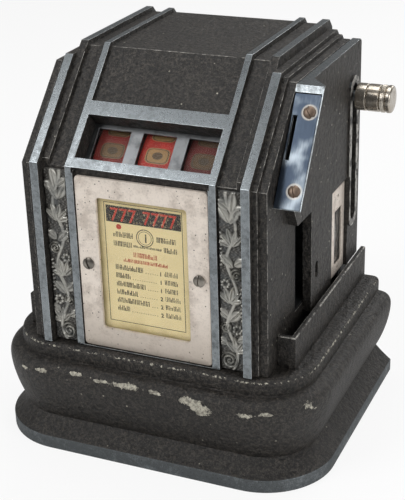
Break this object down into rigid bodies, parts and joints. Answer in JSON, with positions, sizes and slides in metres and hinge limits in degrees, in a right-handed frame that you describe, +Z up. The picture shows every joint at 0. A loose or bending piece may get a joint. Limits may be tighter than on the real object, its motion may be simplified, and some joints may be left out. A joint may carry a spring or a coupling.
{
  "type": "slot machine",
  "caption": "Counter-top coin machine: cast case on a moulded foot, reels behind a sloping window, award card in front, push-down side handle and a slanted coin head.",
  "frame": {"origin": "centre of the foot, on the surface the machine stands on", "axes": "+X to the right of a person facing the machine (the handle's side), +Y to its back, +Z up"},
  "size_m": [0.1672, 0.1314, 0.1882],
  "materials": {
    "crackle_paint": "cast aluminium under dark brown-black crackle paint, chipped along the edges",
    "bare_aluminium": "cast relief, worn blue-grey aluminium with dark recesses",
    "nickel_plate": "worn nickel plate with pits",
    "steel": "brushed steel",
    "brass": "tarnished brass",
    "card": "aged cream card",
    "reel_paper": "printed red paper with cream panels",
    "glass": "clear glass, a little hazy"
  },
  "bodies": {
    "housing": {"base_casting": "crackle_paint", "base_plate": "steel", "case_bolt_front_left": "steel", "case_bolt_back_left": "steel", "case_bolt_front_right": "steel", "case_bolt_back_right": "steel", "case_casting": "crackle_paint", "ornament_panel_left": "bare_aluminium", "ornament_panel_right": "bare_aluminium", "award_plate": "nickel_plate", "award_screw_left": "nickel_plate", "award_screw_right": "nickel_plate", "award_glass": "glass", "award_card": "card", "reel_mask": "steel", "reel_glass": "glass", "frame_plate_left": "steel", "frame_plate_right": "steel", "tie_rod_front": "steel", "tie_rod_back": "steel", "reel_shaft": "steel", "pawl_shaft": "steel", "guide_rod": "steel", "guide_bracket_bottom": "steel", "guide_bracket_top": "steel", "return_spring": "steel", "side_casing": "crackle_paint", "coin_plate": "steel", "coin_plate_screw_lower": "brass", "coin_plate_screw_upper": "brass", "side_window_frame": "nickel_plate", "side_window_glass": "glass", "coin_guide": "steel", "coin_return_cup": "steel", "hinge_case_leaf": "steel", "hinge_pin": "steel"},
    "handle": {"handle_knob": "nickel_plate", "handle_spindle": "steel", "handle_carriage": "steel", "handle_rack": "steel"},
    "kicker": {"kicker_bail": "steel", "sector_gear": "brass"},
    "reel_left": {"reel_drum_left": "steel", "reel_strip_left": "reel_paper", "star_wheel_left": "brass"},
    "reel_middle": {"reel_drum_middle": "steel", "reel_strip_middle": "reel_paper", "star_wheel_middle": "brass"},
    "reel_right": {"reel_drum_right": "steel", "reel_strip_right": "reel_paper", "star_wheel_right": "brass"},
    "pawl_left": {"stop_pawl_left": "steel"},
    "pawl_middle": {"stop_pawl_middle": "steel"},
    "pawl_right": {"stop_pawl_right": "steel"},
    "door": {"back_door": "crackle_paint", "hinge_door_leaf": "steel", "lock_body": "brass", "lock_nut": "steel"},
    "lock": {"lock_plug": "brass", "lock_cam": "steel"}
  },
  "joints": [
    {"name": "handle_press", "type": "slide", "parent": "housing", "child": "handle", "axis": [0, 0, -1], "range_m": [0, 0.0595], "stiffness_N_per_m": 200, "springref_m": -0.02, "deforming": ["return_spring"]},
    {"name": "kicker_swing", "type": "hinge", "parent": "housing", "child": "kicker", "pos_m": [0, -0.00852, 0.11982], "axis": [1, 0, 0], "range_deg": [-63.82, 0]},
    {"name": "reel_left_spin", "type": "hinge", "parent": "housing", "child": "reel_left", "pos_m": [0, -0.00852, 0.11982], "axis": [1, 0, 0], "continuous": true},
    {"name": "reel_middle_spin", "type": "hinge", "parent": "housing", "child": "reel_middle", "pos_m": [0, -0.00852, 0.11982], "axis": [1, 0, 0], "continuous": true},
    {"name": "reel_right_spin", "type": "hinge", "parent": "housing", "child": "reel_right", "pos_m": [0, -0.00852, 0.11982], "axis": [1, 0, 0], "continuous": true},
    {"name": "pawl_left_drop", "type": "hinge", "parent": "housing", "child": "pawl_left", "pos_m": [0, 0.02458, 0.14568], "axis": [1, 0, 0], "range_deg": [0, 5]},
    {"name": "pawl_middle_drop", "type": "hinge", "parent": "housing", "child": "pawl_middle", "pos_m": [0, 0.02458, 0.14568], "axis": [1, 0, 0], "range_deg": [0, 5]},
    {"name": "pawl_right_drop", "type": "hinge", "parent": "housing", "child": "pawl_right", "pos_m": [0, 0.02458, 0.14568], "axis": [1, 0, 0], "range_deg": [0, 5]},
    {"name": "door_swing", "type": "hinge", "parent": "housing", "child": "door", "pos_m": [-0.04685, 0.0639, 0.1175], "axis": [0, 0, 1], "range_deg": [0, 110]},
    {"name": "lock_turn", "type": "hinge", "parent": "door", "child": "lock", "pos_m": [0.033, 0.0605, 0.076], "axis": [0, 1, 0], "range_deg": [0, 90]}
  ],
  "couplings": [
    {"joint": "kicker_swing", "follows": "handle_press", "rad_per_m": -18.719}
  ]
}
